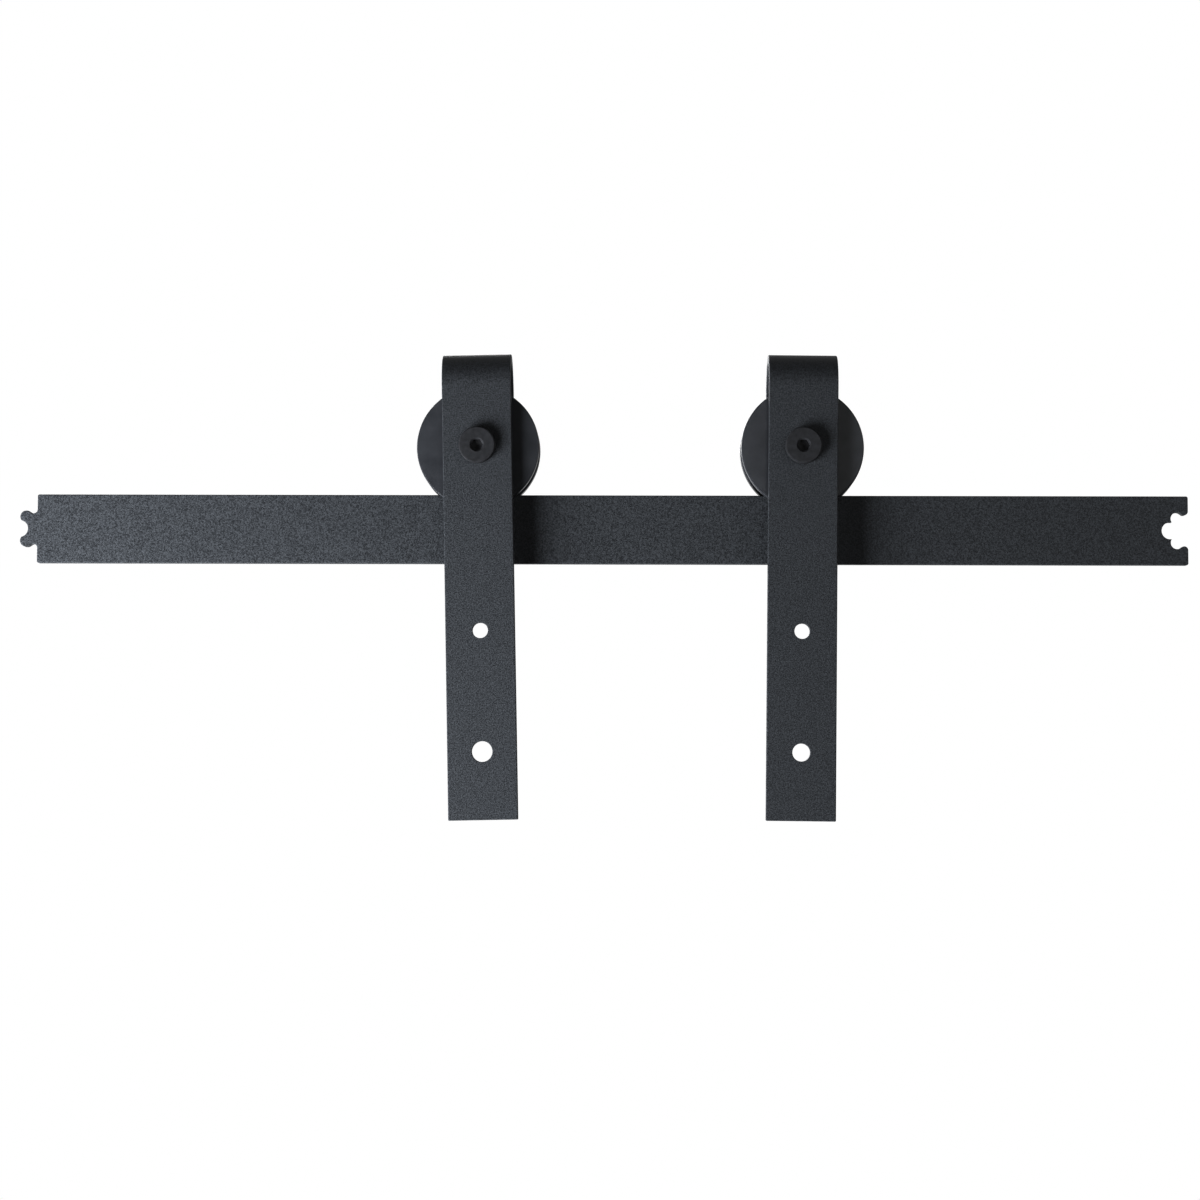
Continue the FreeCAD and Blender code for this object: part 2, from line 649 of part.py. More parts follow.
def build_hanger(side):
    """All pieces of one hanger, moved together to its place on the rail."""
    pieces = [
        build_strap(side),
        build_wheel(side),
        *build_bearing(side),
        build_circlip(side),
        build_axle_bolt(side),
        *build_spacers(side),
        *build_washers(side),
        build_axle_nut(side),
    ]
    for piece in pieces:
        piece.setExpression(".Placement.Base.x", f"Sizes.{side}_axle_along")
        piece.setExpression(".Placement.Base.y", AXLE_DEPTH)
        piece.setExpression(".Placement.Base.z", AXLE_HEIGHT)
    strap = pieces[0]
    strap.Placement = Placement(strap.Placement.Base, Rotation(Vector(0, 1, 0), 1))
    strap.setExpression(".Placement.Rotation.Angle", f"Sizes.{side}_lean * 1 deg")
    return pieces


def check(pieces):
    """Stops if anything in the document failed, or a piece isn't made of valid solids."""
    failed = [item.Name for item in doc.Objects if {"Invalid", "Error"} & set(item.State)]
    if failed:
        raise RuntimeError(f"failed to compute: {', '.join(failed)}")
    for piece in pieces:
        shape = piece.Shape
        if shape.isNull() or not shape.isValid() or not shape.Solids:
            raise RuntimeError(f"{piece.Label} isn't a valid solid")


sub_parts = [build_rail(), *build_hanger("left"), *build_hanger("right")]
doc.recompute()
check(sub_parts)

os.makedirs("parts", exist_ok=True)
for sub_part in sub_parts:
    sub_part.Shape.exportStep(f"parts/{sub_part.Label}.step")
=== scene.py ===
import math

import bmesh
import bpy
from bpy.props import FloatProperty, FloatVectorProperty, PointerProperty
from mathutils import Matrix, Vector


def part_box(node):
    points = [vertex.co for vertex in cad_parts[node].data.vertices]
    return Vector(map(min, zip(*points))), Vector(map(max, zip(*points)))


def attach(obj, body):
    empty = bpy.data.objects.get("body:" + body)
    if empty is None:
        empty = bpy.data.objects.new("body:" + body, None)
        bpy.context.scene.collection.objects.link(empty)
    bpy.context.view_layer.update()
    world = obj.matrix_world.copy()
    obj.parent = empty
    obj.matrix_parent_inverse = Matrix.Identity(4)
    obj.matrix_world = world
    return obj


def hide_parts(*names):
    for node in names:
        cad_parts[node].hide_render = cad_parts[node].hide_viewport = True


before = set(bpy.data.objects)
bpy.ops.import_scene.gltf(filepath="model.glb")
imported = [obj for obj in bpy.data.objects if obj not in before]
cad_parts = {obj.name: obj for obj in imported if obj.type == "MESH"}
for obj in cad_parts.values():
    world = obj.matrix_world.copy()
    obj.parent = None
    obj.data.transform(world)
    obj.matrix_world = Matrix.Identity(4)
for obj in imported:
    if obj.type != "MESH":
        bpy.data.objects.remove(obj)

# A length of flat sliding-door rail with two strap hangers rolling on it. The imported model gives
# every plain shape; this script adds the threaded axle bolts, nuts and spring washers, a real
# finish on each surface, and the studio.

bl_info = {
    "name": "Sliding Door Hardware",
    "version": (1, 0, 0),
    "blender": (4, 5, 0),
    "location": "3D View > Sidebar > Door Hardware",
    "description": "Finishes a flat door rail and its two roller hangers, and sets up the studio",
    "category": "Object",
}

MM = 0.001
SIDES = ("left", "right")
RING_POINTS = 96  # a multiple of six, so a hexagon's corners fall on points
THREAD_STEPS = 12  # rings in each pitch of the thread
RIM_STEPS = 6  # rings in the quarter round of a bolt head's rim
CREST_FLAT = 0.18  # part of a thread's half pitch that its crest leaves flat
NUT_FACE = 0.955  # a nut's round face over its width across flats
CORNER_CHAMFER = math.tan(math.radians(30))
WASHER_RISE = 0.12  # what is left of a pressed spring washer's rise, over its thickness
SPACE_FADE = 0.28  # how far behind the object the surround has come to its full brightness

KEY_PLACE, KEY_TARGET = (-0.66, -0.44, -0.40), (-0.05, 0, 0)
FRONT_PLACE, FRONT_SIZE = (0.36, -1.5, 0.24), 0.25
BACK_PLACE, BACK_SIZE = (-0.5, 1.3, 0.6), 0.8
RIGHT_PLACE, RIGHT_SIZE = (1.2, -1.0, 0.2), 1.0
CAMERA_PLACE, CAMERA_TARGET = (0.0134, -1.606, -0.1512), (-0.0064, -0.006, -0.0411)
FLOOR_RADIUS = 2.2
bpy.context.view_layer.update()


def linear(hex_colour):
    """The scene-linear red, green and blue of an sRGB colour written as RRGGBB."""
    parts = [int(hex_colour[i:i + 2], 16) / 255 for i in (0, 2, 4)]
    return [c / 12.92 if c <= 0.04045 else ((c + 0.055) / 1.055) ** 2.4 for c in parts]


def per_metre(size_mm):
    """The texture scale whose features are about this many millimetres across."""
    return 1 / (size_mm * MM)


def add_node(tree, kind, inputs=None, **settings):
    """Adds a node with its settings, and fills its inputs with values or other nodes' outputs."""
    node = tree.nodes.new(kind)
    for name, value in settings.items():
        setattr(node, name, value)
    for key, value in (inputs or {}).items():
        if isinstance(value, bpy.types.NodeSocket):
            tree.links.new(value, node.inputs[key])
        else:
            node.inputs[key].default_value = value
    return node


# ---------------------------------------------------------------- settings


def colour_property(name, description, hex_colour):
    """A colour that a user can change, from its sRGB value."""
    return FloatVectorProperty(
        name=name, description=description, default=linear(hex_colour),
        subtype="COLOR", size=3, min=0, max=1,
    )


def length_property(name, description, size_mm):
    """A length that a user can change, from millimetres."""
    return FloatProperty(
        name=name, description=description, default=size_mm * MM,
        unit="LENGTH", subtype="DISTANCE", precision=5, min=0,
    )


class CoatSettings(bpy.types.PropertyGroup):
    """The powder coat on the rail and the straps."""

    # The deep and raised colours follow the same grains as the bump: the raised grains are painted
    # lighter as a painted highlight and the hollows darker as painted shade.
    deep_with_painted_shade: colour_property("Deep colour", "Coat colour in the hollows of its texture", "2A2C2F")
    raised_with_painted_highlight: colour_property("Raised colour", "Coat colour on the high grains", "484B4F")
    grain: length_property("Grain", "Size of the coat's fine grains", 0.7)
    grain_height: length_property("Grain height", "How far the grains stand up", 0.03)
    peel: length_property("Orange peel", "Size of the coat's slow waves", 7.0)
    peel_height: length_property("Peel height", "How high the slow waves are", 0.03)


class WheelSettings(bpy.types.PropertyGroup):
    """The satin black enamel on the turned wheels."""

    enamel: colour_property("Enamel", "Colour of the wheels", "333539")
    worn: colour_property("Dulled enamel", "Colour where the enamel is thinner", "3E4044")
    mark: length_property("Turning mark", "Distance between the lathe's marks", 0.6)
    mark_height: length_property("Mark height", "Depth of the lathe's marks", 0.004)


class FastenerSettings(bpy.types.PropertyGroup):
    """The axle bolts, their nuts and their spring washers."""

    oxide: colour_property("Black oxide", "Colour of the blackened steel", "2A2B2D")
    oxide_light: colour_property("Thin oxide", "Colour where the blackening is thin", "393A3D")
    rim: length_property("Head rim", "Rounding of the bolt head's rim", 0.8)
    head: length_property("Head height", "Height of the bolt head", 5.0)
    shank: length_property("Shank radius", "Radius of the bolt's shank", 5.95)
    flats: length_property("Socket flats", "Width of the hexagon socket across its flats", 6.0)
    sink: length_property("Socket sink", "Radius of the socket's countersink", 4.15)
    depth: length_property("Socket depth", "Depth of the hexagon socket", 3.6)
    pitch: length_property("Thread pitch", "Distance between the threads", 1.75)
    thread_depth: length_property("Thread depth", "Depth of the threads", 0.95)
    thread_length: length_property("Thread length", "Length of the bolt that is threaded", 19.0)
    nut_flats: length_property("Nut flats", "Width of the nut across its flats", 18.0)
    split: length_property("Washer split", "Width of the spring washer's split", 1.1)


class StageSettings(bpy.types.PropertyGroup):
    """The floor, the lights, the surroundings and the camera."""

    lens: FloatProperty(
        name="Lens", description="Focal length on a 36 mm sensor", default=82.8, unit="CAMERA",
    )
    key_power: FloatProperty(
        name="Key light", description="Power of the low light at the left", default=33.5,
        unit="POWER",
    )
    key_width: length_property("Key width", "Width of the key light", 600)
    front_power: FloatProperty(
        name="Front light", description="Power of the far light beside the camera", default=1.5,
        unit="POWER",
    )
    right_power: FloatProperty(
        name="Right light", description="Power of the weak light at the right", default=4.6,
        unit="POWER",
    )
    back_power: FloatProperty(
        name="Back light", description="Power of the high light behind the object", default=14.0,
        unit="POWER",
    )
    roll: FloatProperty(
        name="Roll", description="How far the camera is turned about its view", unit="ROTATION",
        default=math.radians(0.18),
    )
    room: FloatProperty(
        name="Room", description="Brightness of the room in front", default=0.05,
        subtype="FACTOR", min=0, max=1,
    )
    contrast: FloatProperty(
        name="Contrast", description="Gamma of the view, with deeper shadows below one",
        default=0.72, min=0.4, max=1.5,
    )
    drop: length_property("Floor drop", "Height of the object's middle over the floor", 720)
    # The floor's colour where it is darkest, under the object, as a painted shadow.
    floor: colour_property("Floor", "Colour of the floor", "ECECEA")


# ---------------------------------------------------------------- materials


def new_material(name, roughness, metallic=0.0, **shader_inputs):
    """A material with its shader's constants set, as (material, tree, shader)."""
    material = bpy.data.materials.new(name)
    material.use_nodes = True
    tree = material.node_tree
    tree.nodes.clear()
    shader = add_node(
        tree, "ShaderNodeBsdfPrincipled",
        {"Roughness": roughness, "Metallic": metallic, **shader_inputs},
    )
    add_node(tree, "ShaderNodeOutputMaterial", {"Surface": shader.outputs["BSDF"]})
    return material, tree, shader


def tint(tree, shader, factor, low, high):
    """The shader's colour runs from low to high as factor goes from 0 to 1."""
    mix = add_node(
        tree, "ShaderNodeMix",
        {"Factor": factor, 6: (*low, 1), 7: (*high, 1)}, data_type="RGBA",
    )
    tree.links.new(mix.outputs[2], shader.inputs["Base Color"])


def vary_roughness(tree, shader, factor, low, high):
    """The shader's roughness runs from low to high as factor goes from 0 to 1."""
    ranged = add_node(
        tree, "ShaderNodeMapRange", {"Value": factor, "To Min": low, "To Max": high},
    )
    tree.links.new(ranged.outputs["Result"], shader.inputs["Roughness"])


def raise_grain(tree, shader, height, distance, under=None):
    """The surface stands up by distance, in metres, where height is 1, over the bump in under."""
    inputs = {"Height": height, "Distance": distance, "Strength": 1.0}
    if under is not None:
        inputs["Normal"] = under
    bump = add_node(tree, "ShaderNodeBump", inputs)
    tree.links.new(bump.outputs["Normal"], shader.inputs["Normal"])
    return bump.outputs["Normal"]


def axle_centre(side):
    """Where a side's axle runs, as (x, z) in metres."""
    low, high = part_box(f"{side}_axle_bolt")
    return (low[0] + high[0]) / 2, (low[2] + high[2]) / 2


def lathe_marks(tree, side, spacing):
    """Rings round the side's axle with about this many metres between them, from 0 to 1."""
    x, z = axle_centre(side)
    place = add_node(tree, "ShaderNodeTexCoord")
    flat = add_node(
        tree, "ShaderNodeMapping",
        {"Vector": place.outputs["Object"], "Location": (-x, 0, -z), "Scale": (1, 0, 1)},
    )
    radius = add_node(tree, "ShaderNodeVectorMath", {0: flat.outputs[0]}, operation="LENGTH")
    rings = add_node(
        tree, "ShaderNodeTexNoise",
        {"W": radius.outputs["Value"], "Scale": 1 / spacing, "Detail": 2.0, "Roughness": 0.6},
        noise_dimensions="1D",
    )
    return rings.outputs["Fac"]


def grains(tree, size_mm, detail=2.0, low=0.25, high=0.75):
    """Even grain of this size over the whole piece, its noise from low to high drawn as 0 to 1."""
    place = add_node(tree, "ShaderNodeTexCoord")
    noise = add_node(
        tree, "ShaderNodeTexNoise",
        {"Vector": place.outputs["Object"], "Scale": per_metre(size_mm), "Detail": detail,
         "Roughness": 0.55},
    )
    drawn_out = add_node(
        tree, "ShaderNodeMapRange",
        {"Value": noise.outputs["Fac"], "From Min": low, "From Max": high},
    )
    return drawn_out.outputs["Result"]


def powder_coat():
    """Fine-textured black polyester powder coat, baked on steel.

    Its grains make a fine speckle: they stand up as bumps, and their colour is painted lighter on
    the raised grains as a painted highlight and darker in the hollows as painted shade, over their
    own random tone. Slow waves under them break up long highlights. Real grains are 0.2 to 0.4 mm,
    and they are drawn coarser so that they show.
    """
    s = bpy.context.scene.door_coat
    material, tree, shader = new_material("Fine_textured_black_powder_coat", 0.6, IOR=1.5)
    fine = grains(tree, s.grain / MM, detail=1.0, low=0.32, high=0.68)
    waves = grains(tree, s.peel / MM, detail=1.0)
    # Painted highlight on the raised grains and painted shade in the hollows, from the same noise
    # as the bump.
    tint(tree, shader, fine, s.deep_with_painted_shade, s.raised_with_painted_highlight)
    vary_roughness(tree, shader, fine, 0.55, 0.7)
    under = raise_grain(tree, shader, waves, s.peel_height)
    raise_grain(tree, shader, fine, s.grain_height, under=under)
    return material


def wheel_enamel(side):
    """Satin black enamel over a turned steel wheel, with the lathe's rings faintly under it."""
    s = bpy.context.scene.door_wheel
    material, tree, shader = new_material(f"Satin_black_enamel_{side}", 0.3, IOR=1.5)
    rings = lathe_marks(tree, side, s.mark)
    cloud = grains(tree, 9.0, detail=3.0)
    tint(tree, shader, cloud, s.enamel, s.worn)
    vary_roughness(tree, shader, rings, 0.32, 0.4)
    under = raise_grain(tree, shader, rings, s.mark_height)
    raise_grain(tree, shader, grains(tree, 0.8), 0.006 * MM, under=under)
    return material


def black_oxide(side):
    """Black oxide on turned steel: near black with a slight oily sheen over fine lathe rings."""
    name = f"Black_oxide_steel_{side}"
    if name in bpy.data.materials:
        return bpy.data.materials[name]
    s = bpy.context.scene.door_fastener
    material, tree, shader = new_material(name, 0.52, IOR=1.45)
    rings = lathe_marks(tree, side, 0.3 * MM)
    cloud = grains(tree, 2.5, detail=4.0)
    tint(tree, shader, cloud, s.oxide, s.oxide_light)
    vary_roughness(tree, shader, cloud, 0.46, 0.6)
    raise_grain(tree, shader, rings, 0.006 * MM)
    return material


def zinc_plate(side):
    """Zinc plate on turned steel: pale grey metal, softly mottled, with lathe rings."""
    material, tree, shader = new_material(f"Zinc_plated_turned_steel_{side}", 0.34, 1.0)
    rings = lathe_marks(tree, side, 0.25 * MM)
    mottle = grains(tree, 1.6, detail=3.0)
    tint(tree, shader, mottle, linear("9FA3A6"), linear("C2C4C4"))
    vary_roughness(tree, shader, mottle, 0.26, 0.42)
    raise_grain(tree, shader, rings, 0.008 * MM)
    return material


def ground_steel(side):
    """Through-hardened bearing steel, ground: bright, with very fine rings from the stone."""
    material, tree, shader = new_material(f"Ground_bearing_steel_{side}", 0.2, 1.0)
    rings = lathe_marks(tree, side, 0.12 * MM)
    tint(tree, shader, rings, linear("B4B7BA"), linear("D0D1D1"))
    vary_roughness(tree, shader, rings, 0.15, 0.26)
    raise_grain(tree, shader, rings, 0.002 * MM)
    return material


def lapped_steel():
    """Lapped chromium steel balls: mirror bright, with the faintest haze of fine scratches."""
    material, tree, shader = new_material("Lapped_ball_steel", 0.06, 1.0)
    haze = grains(tree, 0.4, detail=2.0)
    tint(tree, shader, haze, linear("D2D3D4"), linear("DEDEDD"))
    vary_roughness(tree, shader, haze, 0.04, 0.09)
    return material


def pressed_sheet():
    """A cage pressed from low-carbon steel strip: warm grey, drawn along its length, part matt."""
    material, tree, shader = new_material("Pressed_steel_sheet", 0.38, 1.0)
    place = add_node(tree, "ShaderNodeTexCoord")
    drawn = add_node(
        tree, "ShaderNodeMapping", {"Vector": place.outputs["Object"], "Scale": (1, 0.08, 1)},
    )
    lines = add_node(
        tree, "ShaderNodeTexNoise",
        {"Vector": drawn.outputs[0], "Scale": per_metre(0.3), "Detail": 2.0},
    )
    tint(tree, shader, lines.outputs["Fac"], linear("A8A39A"), linear("C4C0B8"))
    vary_roughness(tree, shader, lines.outputs["Fac"], 0.3, 0.48)
    raise_grain(tree, shader, lines.outputs["Fac"], 0.006 * MM)
    return material


def nitrile_rubber():
    """Moulded nitrile seals: matt charcoal black with the mould's fine spark texture."""
    material, tree, shader = new_material("Moulded_nitrile_rubber", 0.62, IOR=1.52)
    skin = grains(tree, 0.35, detail=2.0)
    tint(tree, shader, skin, linear("17171A"), linear("242427"))
    vary_roughness(tree, shader, skin, 0.55, 0.7)
    raise_grain(tree, shader, skin, 0.02 * MM)
    return material


def phosphated_steel():
    """Phosphated spring steel: dark grey crystals under oil, quite matt."""
    name = "Phosphated_spring_steel"
    if name in bpy.data.materials:
        return bpy.data.materials[name]
    material, tree, shader = new_material(name, 0.55, IOR=1.5)
    place = add_node(tree, "ShaderNodeTexCoord")
    crystals = add_node(
        tree, "ShaderNodeTexVoronoi",
        {"Vector": place.outputs["Object"], "Scale": per_metre(0.5)}, feature="F1",
    )
    crust = crystals.outputs["Distance"]
    tint(tree, shader, crust, linear("3C3D40"), linear("525356"))
    vary_roughness(tree, shader, crust, 0.48, 0.66)
    raise_grain(tree, shader, crust, 0.01 * MM)
    return material


def finish_nodes(material, *nodes):
    """Gives CAD nodes this finish in every one of their slots."""
    for name in nodes:
        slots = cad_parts[name].material_slots
        for i in range(len(slots)):
            slots[i].material = material


# ---------------------------------------------------------------- mesh and tree helpers


def hexagon(flats, angle, first_corner=0.0):
    """A hexagon's radius at an angle, for its width across flats."""
    turn = (angle - first_corner) % (math.pi / 3)
    return flats / 2 / math.cos(turn - math.pi / 6)


def ring_mesh(name, centre, rings, closed=False):
    """A body of rings round an axle along Y.

    Each ring is a function of the angle that gives (radius, y). The ends are closed with a fan to
    the axis, or with closed=True the last ring joins the first one.
    """
    bm = bmesh.new()
    x, z = centre
    angles = [2 * math.pi * i / RING_POINTS for i in range(RING_POINTS)]
    rows = []
    for ring in rings:
        row = []
        for a in angles:
            radius, y = ring(a)
            row.append(bm.verts.new((x + radius * math.cos(a), y, z + radius * math.sin(a))))
        rows.append(row)
    pairs = list(zip(rows, rows[1:]))
    if closed:
        pairs.append((rows[-1], rows[0]))
    for one, two in pairs:
        for i in range(RING_POINTS):
            j = (i + 1) % RING_POINTS
            bm.faces.new((one[i], one[j], two[j], two[i]))
    if not closed:
        for row in (rows[0], rows[-1]):
            middle = bm.verts.new((x, row[0].co.y, z))
            for i in range(RING_POINTS):
                bm.faces.new((row[i], row[(i + 1) % RING_POINTS], middle))
    bmesh.ops.recalc_face_normals(bm, faces=bm.faces)
    mesh = bpy.data.meshes.new(name)
    bm.to_mesh(mesh)
    bm.free()
    return mesh


def circle(radius, y):
    """A plain round ring for ring_mesh."""
    return lambda angle: (radius, y)


def start_tree(name, *numbers, place=None):
    """A geometry tree and its inputs: a body, a finish, these numbers and perhaps a place."""
    tree = bpy.data.node_groups.new(name, "GeometryNodeTree")
    face = tree.interface
    face.new_socket("Geometry", in_out="OUTPUT", socket_type="NodeSocketGeometry")
    face.new_socket("Geometry", in_out="INPUT", socket_type="NodeSocketGeometry")
    face.new_socket("Finish", in_out="INPUT", socket_type="NodeSocketMaterial")
    for number in numbers:
        face.new_socket(number, in_out="INPUT", socket_type="NodeSocketFloat")
    if place:
        face.new_socket(place, in_out="INPUT", socket_type="NodeSocketVector")
    return tree, add_node(tree, "NodeGroupInput").outputs


def end_tree(tree, inputs, geometry):
    """Ends a tree in real geometry with its finish."""
    real = add_node(tree, "GeometryNodeRealizeInstances", {0: geometry})
    done = add_node(
        tree, "GeometryNodeSetMaterial",
        {"Geometry": real.outputs[0], "Material": inputs["Finish"]},
    )
    add_node(tree, "NodeGroupOutput", {0: done.outputs[0]})


def run_tree(tree, name, mesh, values):
    """Runs a tree on a mesh and returns a new object that holds the plain result."""
    piece = bpy.data.objects.new(name, mesh)
    bpy.context.scene.collection.objects.link(piece)
    modifier = piece.modifiers.new("Make", "NODES")
    modifier.node_group = tree
    for item in tree.interface.items_tree:
        if item.in_out == "INPUT" and item.name in values:
            modifier[item.identifier] = values[item.name]
    graph = bpy.context.evaluated_depsgraph_get()
    result = bpy.data.meshes.new_from_object(piece.evaluated_get(graph))
    piece.modifiers.clear()
    piece.data = result
    result.name = name
    return piece


def settle(piece, node, body, angle=math.radians(28)):
    """Shades a finished piece, stands it in for its CAD node and lets it ride on its body."""
    piece.data.polygons.foreach_set("use_smooth", [True] * len(piece.data.polygons))
    piece.data.set_sharp_from_angle(angle=angle)
    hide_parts(node)
    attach(piece, body)


# ---------------------------------------------------------------- axle bolts


def bolt_rings(side, s):
    """The rings of one axle bolt, from the socket's bottom round the head to the bolt's end."""
    low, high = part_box(f"{side}_axle_bolt")
    front, end = low[1], high[1]
    radius = (high[0] - low[0]) / 2
    drill, drill_point, land = 2.6 * MM, 0.9 * MM, 0.15 * MM
    rings = [
        circle(0.02 * MM, front + s.depth + drill_point),
        circle(drill, front + s.depth),
        lambda a: (hexagon(s.flats, a), front + s.depth),
        lambda a: (hexagon(s.flats, a), front + s.sink - hexagon(s.flats, a)),
        circle(s.sink, front),
        circle(s.sink + land, front),
        circle(radius - s.rim - land, front),
    ]
    for step in range(RIM_STEPS + 1):
        turn = math.pi / 2 * step / RIM_STEPS
        rings.append(circle(
            radius - s.rim * (1 - math.sin(turn)), front + s.rim * (1 - math.cos(turn)),
        ))
    under = 0.3 * MM
    rings += [
        circle(radius, front + s.head - under),
        circle(radius - under, front + s.head),
        circle(s.shank, front + s.head),
    ]
    steps = round(s.thread_length / s.pitch * THREAD_STEPS)
    start = end - s.thread_length
    chamfer, end_round = 1.0 * MM, 0.3 * MM
    for step in range(steps + 1):
        y = start + s.thread_length * step / steps
        rings.append(circle(s.shank - max(0.0, y - (end - chamfer)), y))
    rings.append(circle(s.shank - chamfer - end_round, end))
    return rings


def thread_tree():
    """Cuts a helical thread into the end of a shaft that runs along Y."""
    names = ("Centre X", "Centre Z", "Start", "Run out", "Radius", "Pitch", "Depth")
    tree, inputs = start_tree("Axle_thread", *names)

    def maths(operation, a, b=0.0, clamp=False):
        return add_node(
            tree, "ShaderNodeMath", {0: a, 1: b}, operation=operation, use_clamp=clamp,
        ).outputs[0]

    place = add_node(tree, "GeometryNodeInputPosition").outputs[0]
    x, y, z = add_node(tree, "ShaderNodeSeparateXYZ", {0: place}).outputs
    across = maths("SUBTRACT", x, inputs["Centre X"])
    up = maths("SUBTRACT", z, inputs["Centre Z"])
    squares = maths("ADD", maths("MULTIPLY", across, across), maths("MULTIPLY", up, up))
    radius = maths("SQRT", squares)
    turn = maths("DIVIDE", maths("ARCTAN2", up, across), 2 * math.pi)
    along = maths("SUBTRACT", y, inputs["Start"])
    phase = maths("FRACT", maths("ADD", maths("DIVIDE", along, inputs["Pitch"]), turn))
    # The phase makes a V from crest to root and back, with a small flat on its crest.
    slope = maths("ABSOLUTE", maths("SUBTRACT", maths("MULTIPLY", phase, 2.0), 1.0))
    groove = maths("MULTIPLY", maths("SUBTRACT", 1.0, slope), 1 + CREST_FLAT)
    groove = maths("MAXIMUM", maths("SUBTRACT", groove, CREST_FLAT), 0.0)
    fade = maths("DIVIDE", along, inputs["Run out"], clamp=True)
    cut = maths("MULTIPLY", maths("MULTIPLY", groove, inputs["Depth"]), fade)
    cut_radius = maths("MINIMUM", radius, maths("SUBTRACT", inputs["Radius"], cut))
    scale = maths("DIVIDE", cut_radius, maths("MAXIMUM", radius, 1e-6))
    moved = add_node(
        tree, "ShaderNodeCombineXYZ",
        {0: maths("ADD", inputs["Centre X"], maths("MULTIPLY", across, scale)),
         1: y,
         2: maths("ADD", inputs["Centre Z"], maths("MULTIPLY", up, scale))},
    ).outputs[0]
    on_shaft = maths("GREATER_THAN", radius, maths("MULTIPLY", inputs["Radius"], 0.75))
    past_start = maths("GREATER_THAN", along, 0.0)
    threaded = add_node(
        tree, "GeometryNodeSetPosition",
        {"Geometry": inputs["Geometry"], "Position": moved,
         "Selection": maths("MULTIPLY", on_shaft, past_start)},
    )
    end_tree(tree, inputs, threaded.outputs[0])
    return tree


class HARDWARE_OT_axle_bolts(bpy.types.Operator):
    """Make the two axle bolts, with a hexagon socket in a low round head and a threaded end"""

    bl_idname = "door_hardware.axle_bolts"
    bl_label = "Axle Bolts"

    def execute(self, context):
        s = context.scene.door_fastener
        tree = thread_tree()
        for side in SIDES:
            node = f"{side}_axle_bolt"
            centre = axle_centre(side)
            mesh = ring_mesh(node, centre, bolt_rings(side, s))
            piece = run_tree(tree, f"{side}_axle_bolt_threaded", mesh, {
                "Finish": black_oxide(side),
                "Centre X": centre[0], "Centre Z": centre[1],
                "Start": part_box(node)[1][1] - s.thread_length, "Run out": 2 * s.pitch,
                "Radius": s.shank, "Pitch": s.pitch, "Depth": s.thread_depth,
            })
            settle(piece, node, f"{side}_hanger")
        return {"FINISHED"}


# ---------------------------------------------------------------- nuts


def nut_rings(side, s):
    """The rings of one axle nut, from its bore out over one face and back over the other."""
    low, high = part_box(f"{side}_axle_nut")
    near, far = low[1], high[1]
    wide = high[0] - low[0] > high[2] - low[2]
    corner = 0.0 if wide else math.pi / 6
    bore, sink = 6.05 * MM, 6.8 * MM
    face = s.nut_flats / 2 * NUT_FACE

    def chamfer(angle):
        return (hexagon(s.nut_flats, angle, corner) - face) * CORNER_CHAMFER

    return [
        circle(bore, near + sink - bore),
        circle(sink, near),
        circle(face, near),
        lambda a: (hexagon(s.nut_flats, a, corner), near + chamfer(a)),
        lambda a: (hexagon(s.nut_flats, a, corner), far - chamfer(a)),
        circle(face, far),
        circle(sink, far),
        circle(bore, far - (sink - bore)),
    ]


class HARDWARE_OT_axle_nuts(bpy.types.Operator):
    """Make the two axle nuts, with chamfered corners and a countersunk bore"""

    bl_idname = "door_hardware.axle_nuts"
    bl_label = "Axle Nuts"

    def execute(self, context):
        s = context.scene.door_fastener
        for side in SIDES:
            node = f"{side}_axle_nut"
            mesh = ring_mesh(node, axle_centre(side), nut_rings(side, s), closed=True)
            mesh.materials.append(black_oxide(side))
            piece = bpy.data.objects.new(f"{side}_axle_nut_chamfered", mesh)
            context.scene.collection.objects.link(piece)
            settle(piece, node, f"{side}_hanger", math.radians(20))
        return {"FINISHED"}


# ---------------------------------------------------------------- spring washers


def coil_tree():
    """Winds one turn of rounded square wire round Y, with a split."""
    names = ("Radius", "Wire width", "Wire height", "Rise", "Turns", "Rounding")
    tree, inputs = start_tree("Spring_washer", *names, place="Middle")
    coil = add_node(
        tree, "GeometryNodeCurveSpiral",
        {"Resolution": 96, "Rotations": inputs["Turns"], "Start Radius": inputs["Radius"],
         "End Radius": inputs["Radius"], "Height": inputs["Rise"]},
    )
    upright = add_node(
        tree, "GeometryNodeSetCurveNormal", {"Curve": coil.outputs[0]}, mode="Z_UP",
    )
    section = add_node(
        tree, "GeometryNodeCurvePrimitiveQuadrilateral",
        {"Width": inputs["Wire width"], "Height": inputs["Wire height"]}, mode="RECTANGLE",
    )
    rounded = add_node(
        tree, "GeometryNodeFilletCurve",
        {"Curve": section.outputs[0], "Radius": inputs["Rounding"], "Limit Radius": True,
         "Count": 3},
        mode="POLY",
    )
    wire = add_node(
        tree, "GeometryNodeCurveToMesh",
        {"Curve": upright.outputs[0], "Profile Curve": rounded.outputs[0], "Fill Caps": True},
    )
    centred = add_node(
        tree, "GeometryNodeTransform",
        {"Geometry": wire.outputs[0], "Translation": inputs["Middle"],
         "Rotation": (math.pi / 2, 0, 0)},
    )
    end_tree(tree, inputs, centred.outputs[0])
    return tree


